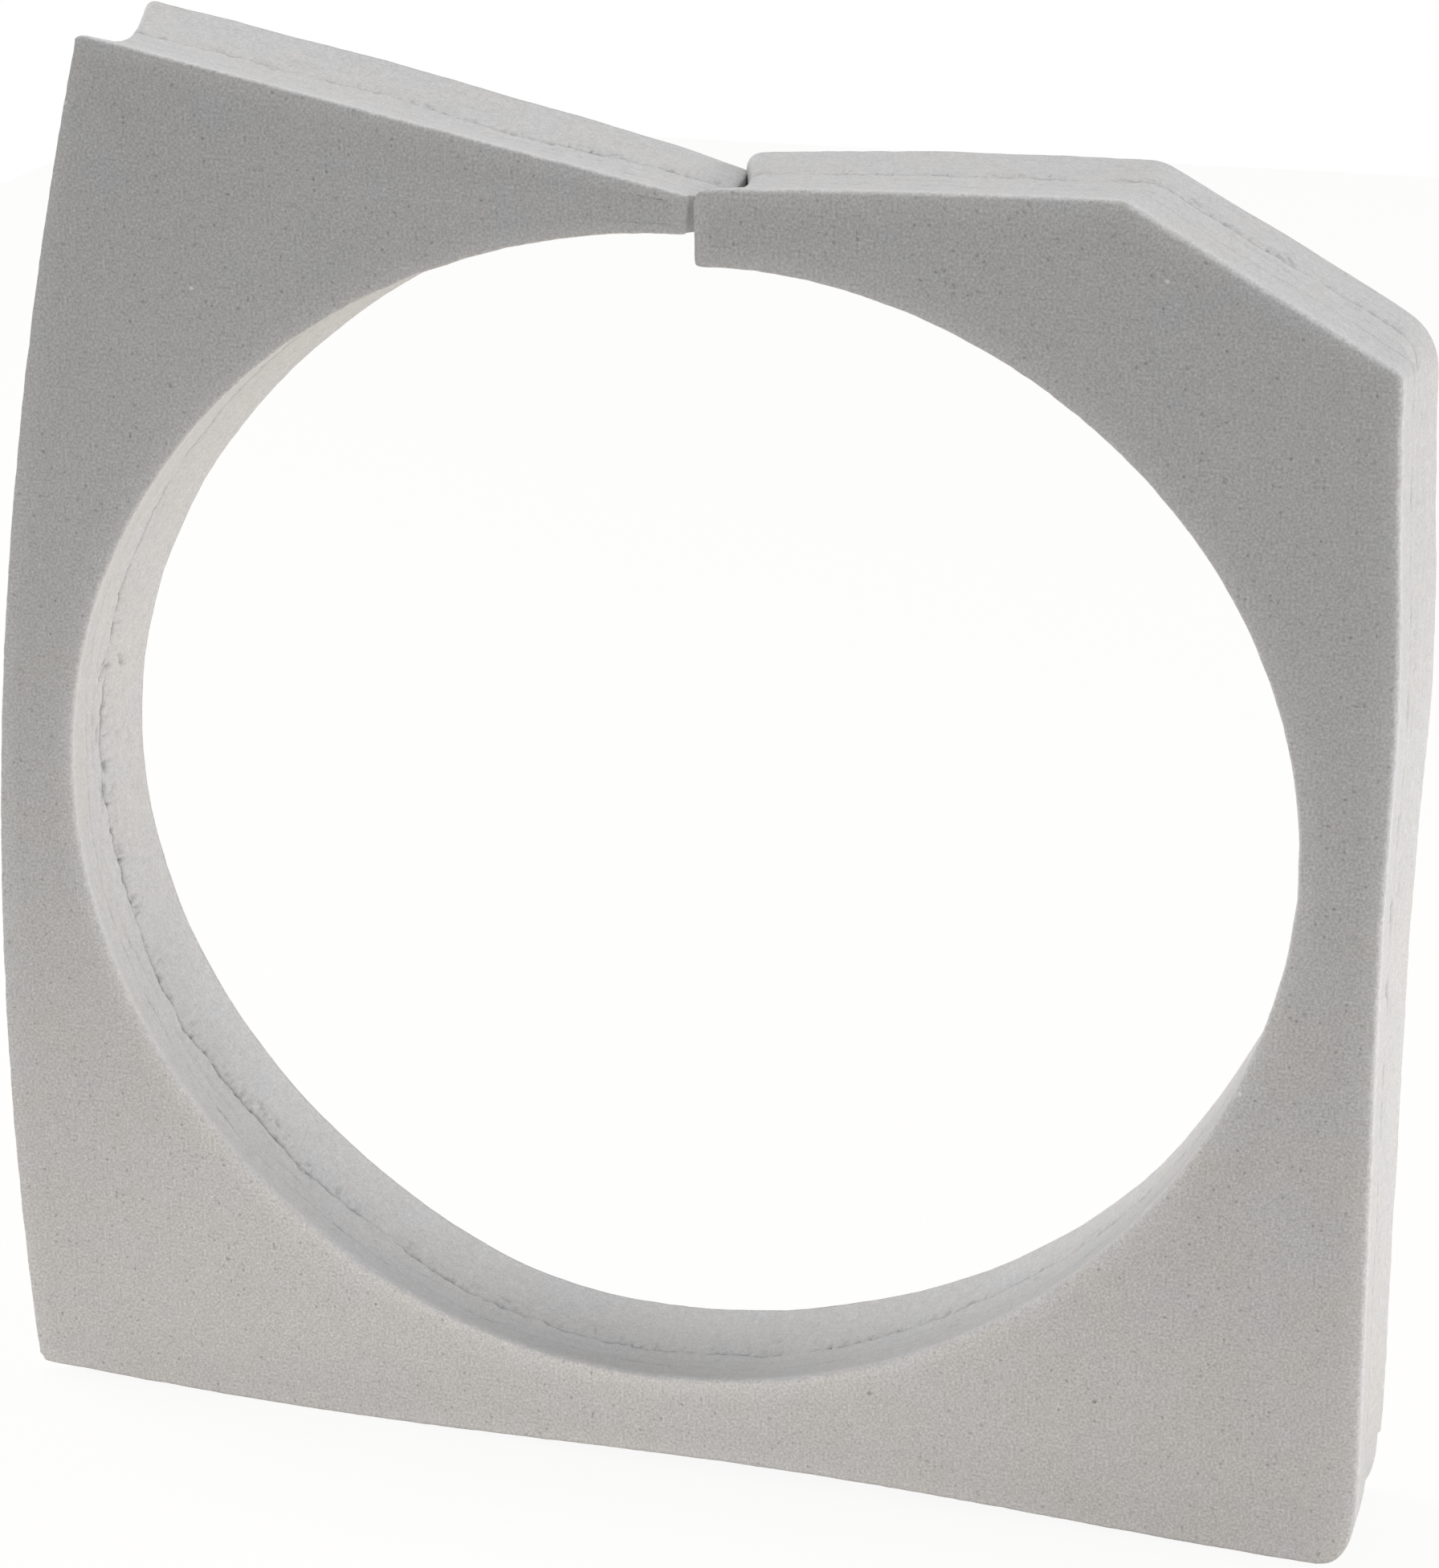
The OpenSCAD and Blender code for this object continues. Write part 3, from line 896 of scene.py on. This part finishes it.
def foam_relief(n, marks):
    """The foam's small relief, too fine for its mesh."""
    height = n.math("MULTIPLY", marks["pores"], PORE_HEIGHT)
    height = n.math("MULTIPLY_ADD", marks["grain"], GRAIN_HEIGHT, height)
    height = n.math("MULTIPLY_ADD", marks["holes"], HOLE_HEIGHT, height)
    streak = n.math("MULTIPLY", marks["streak"], marks["wall"])
    height = n.math("MULTIPLY_ADD", streak, STREAK_HEIGHT, height)
    bump = n.add("ShaderNodeBump", {"Height": height, "Strength": RELIEF_STRENGTH, "Distance": RELIEF_DEPTH})
    return bump.outputs["Normal"]


def foam_finish(name, base):
    """Fine open-celled foam with a smoother cut wall, and painted light and shade at its lips and in its
    grooves.
    """
    material = bpy.data.materials.new(name)
    material.use_nodes = True
    n = Nodes(material.node_tree)
    marks = foam_marks(n)
    shader = n.add("ShaderNodeBsdfPrincipled", {
        "Base Color": foam_colour(n, marks, base),
        "Roughness": FOAM_ROUGHNESS,
        "Specular IOR Level": FOAM_SHINE,
        "Normal": foam_relief(n, marks),
    })
    n.add("ShaderNodeOutputMaterial", {"Surface": shader.outputs[0]})
    return material


# Each half's own seeds, and how many cracks its wall has.
LEFT_SEED = 3.0
RIGHT_SEED = 60.0
LEFT_CRACKS = (11, 90)
RIGHT_CRACKS = (23, 80)


def make_sheet_half(sheet, half, side_name, lines, cracks, finish):
    """One half of a foam sheet."""
    loops = SheetLoops(half, lines, cracks)
    SHEET_LOOPS[sheet](loops)
    piece = roll_sheet(f"{sheet}_{side_name}_half", half, loops.rows)
    piece.data.materials.append(finish)
    return piece


def make_left_half(finishes):
    """The left half of every sheet, which runs along its web from the base to the left arm, in place of
    those parts.
    """
    half = HalfOutline(left_edges(), LEFT, LEFT_SEED)
    lines = bond_lines(half)
    cracks = tears(half, *LEFT_CRACKS)
    for sheet, finish in finishes.items():
        piece = make_sheet_half(sheet, half, "left", lines, cracks, finish)
        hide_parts(f"{sheet}_base", f"{sheet}_left_web", f"{sheet}_left_arm")
        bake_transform(piece)


def make_right_half(finishes):
    """The right half of every sheet, which runs along its web from the base to the right arm, in place of
    those parts.
    """
    half = HalfOutline(right_edges(), RIGHT, RIGHT_SEED)
    lines = bond_lines(half)
    cracks = tears(half, *RIGHT_CRACKS)
    for sheet, finish in finishes.items():
        piece = make_sheet_half(sheet, half, "right", lines, cracks, finish)
        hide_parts(f"{sheet}_base", f"{sheet}_right_web", f"{sheet}_right_arm")
        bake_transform(piece)


# The white table, in metres, and how much of it is plain white where it is seen.
TABLE_SIZE = 0.9
TABLE_PLACE = (0.0, 0.33, 0.0)
TABLE_COLOUR = (0.86, 0.81, 0.73, 1.0)
TABLE_WHITE = 0.92
WHITE = (1.0, 1.0, 1.0, 1.0)

# The room's light, and how it falls off overhead and grows to the rear.
ROOM_COLOUR = (0.97, 0.98, 1.0, 1.0)
ROOM_LEVEL = 1.45
ROOM_OVERHEAD = -1.26
ROOM_REAR = 0.085
ROOM_BELOW = 0.10
HORIZON = 0.05

# Soft boxes and cards, in metres: place, target, size, watts and colour.
MIDDLE = (0.0, 0.0, 0.08)
PLAIN_LIGHT = (1.0, 1.0, 1.0)
COOL_LIGHT = (0.985, 0.995, 1.02)
WARM_LIGHT = (1.0, 0.97, 0.93)
CARD_LIGHT = (1.0, 0.985, 0.96)
SOFT_BOXES = {
    "right_box": ((0.96, 0.15, 0.34), MIDDLE, 0.30, 3.2, COOL_LIGHT),
    "top_box": ((-0.20, 0.05, 0.93), MIDDLE, 0.16, 3.0, PLAIN_LIGHT),
    "left_box": ((-0.90, 0.22, 0.20), MIDDLE, 0.36, 3.2, PLAIN_LIGHT),
    "front_card": ((-0.02, -0.11, 0.012), (-0.01, -0.01, 0.03), 0.08, 0.040, WARM_LIGHT),
    "rear_card": ((0.08, 0.22, 0.004), (0.08, 0.22, 1.0), 0.30, 0.50, CARD_LIGHT),
    "right_card": ((0.24, 0.06, 0.004), (0.0, 0.0, 0.30), 0.20, 0.315, CARD_LIGHT),
}

# The camera: lens and sensor in millimetres, clip and place in metres, turn in degrees.
CAMERA_LENS = 96.37
CAMERA_SENSOR = 36.0
CAMERA_CLIP = (0.01, 20.0)
CAMERA_PLACE = (0.15944, -0.44123, 0.25617)
CAMERA_TURN = (70.063, 0.899, 18.883)


def seen_directly(n):
    """1 for what the camera, a reflection or clear glass shows, 0 for light on the object."""
    path = n.add("ShaderNodeLightPath")
    direct = n.math("MAXIMUM", path.outputs["Is Camera Ray"], path.outputs["Is Glossy Ray"])
    return n.math("MAXIMUM", direct, path.outputs["Is Transmission Ray"])


def make_floor():
    """A white table top that keeps a faint shadow."""
    deselect_all()
    bpy.ops.mesh.primitive_plane_add(size=TABLE_SIZE, location=TABLE_PLACE)
    floor = bpy.context.object
    floor.name = "floor"
    material = bpy.data.materials.new("white_table")
    material.use_nodes = True
    n = Nodes(material.node_tree)
    table = n.add("ShaderNodeBsdfDiffuse", {"Color": TABLE_COLOUR})
    glow = n.add("ShaderNodeEmission", {"Color": WHITE, "Strength": 1.0})
    share = n.math("MULTIPLY", seen_directly(n), TABLE_WHITE)
    mix = n.add("ShaderNodeMixShader", {0: share, 1: table.outputs[0], 2: glow.outputs[0]})
    n.add("ShaderNodeOutputMaterial", {"Surface": mix.outputs[0]})
    floor.data.materials.append(material)


def soft_box(name, place, target, size, watts, colour):
    """One square soft lamp that isn't itself seen."""
    lamp = bpy.data.lights.new(name, "AREA")
    lamp.shape = "SQUARE"
    lamp.size = size
    lamp.energy = watts
    lamp.color = colour
    holder = bpy.data.objects.new(name, lamp)
    bpy.context.scene.collection.objects.link(holder)
    holder.location = place
    holder.visible_camera = False
    holder.rotation_euler = (Vector(target) - Vector(place)).to_track_quat("-Z", "Y").to_euler()


def make_room():
    """White surroundings that light the object from all sides above the table."""
    world = bpy.data.worlds.new("studio")
    bpy.context.scene.world = world
    world.use_nodes = True
    n = Nodes(world.node_tree)
    way = n.add("ShaderNodeSeparateXYZ", {"Vector": n.add("ShaderNodeTexCoord").outputs["Generated"]})
    above = n.span(way.outputs["Z"], -HORIZON, HORIZON, ROOM_BELOW, 1.0)
    level = n.math("MULTIPLY_ADD", way.outputs["Z"], ROOM_OVERHEAD, ROOM_LEVEL)
    level = n.math("MULTIPLY_ADD", way.outputs["Y"], ROOM_REAR, level)
    level = n.math("MULTIPLY", above, level)
    room = n.add("ShaderNodeBackground", {"Color": ROOM_COLOUR, "Strength": level})
    white = n.add("ShaderNodeBackground", {"Color": WHITE, "Strength": 1.0})
    mix = n.add("ShaderNodeMixShader", {0: seen_directly(n), 1: room.outputs[0], 2: white.outputs[0]})
    n.add("ShaderNodeOutputWorld", {"Surface": mix.outputs[0]})


def make_light():
    """The room, soft boxes at the right, above and at the left, and three cards low on the table."""
    make_room()
    for name, box in SOFT_BOXES.items():
        soft_box(name, *box)


def make_camera():
    """The camera stands to the right of the frame and above it, and looks a little down."""
    camera = bpy.data.cameras.new("camera")
    camera.lens = CAMERA_LENS
    camera.sensor_width = CAMERA_SENSOR
    camera.clip_start, camera.clip_end = CAMERA_CLIP
    holder = bpy.data.objects.new("camera", camera)
    bpy.context.scene.collection.objects.link(holder)
    holder.location = CAMERA_PLACE
    holder.rotation_euler = [math.radians(turn) for turn in CAMERA_TURN]
    bpy.context.scene.camera = holder


bpy.context.scene.view_settings.view_transform = "Standard"
make_camera()
make_floor()
make_light()
sheet_finishes = {
    "front_sheet": foam_finish("front_foam", FOAM_GREY),
    "middle_sheet": foam_finish("middle_foam", FOAM_GREY),
    "rear_sheet": foam_finish("rear_foam", FOAM_GREY),
}
make_left_half(sheet_finishes)
make_right_half(sheet_finishes)
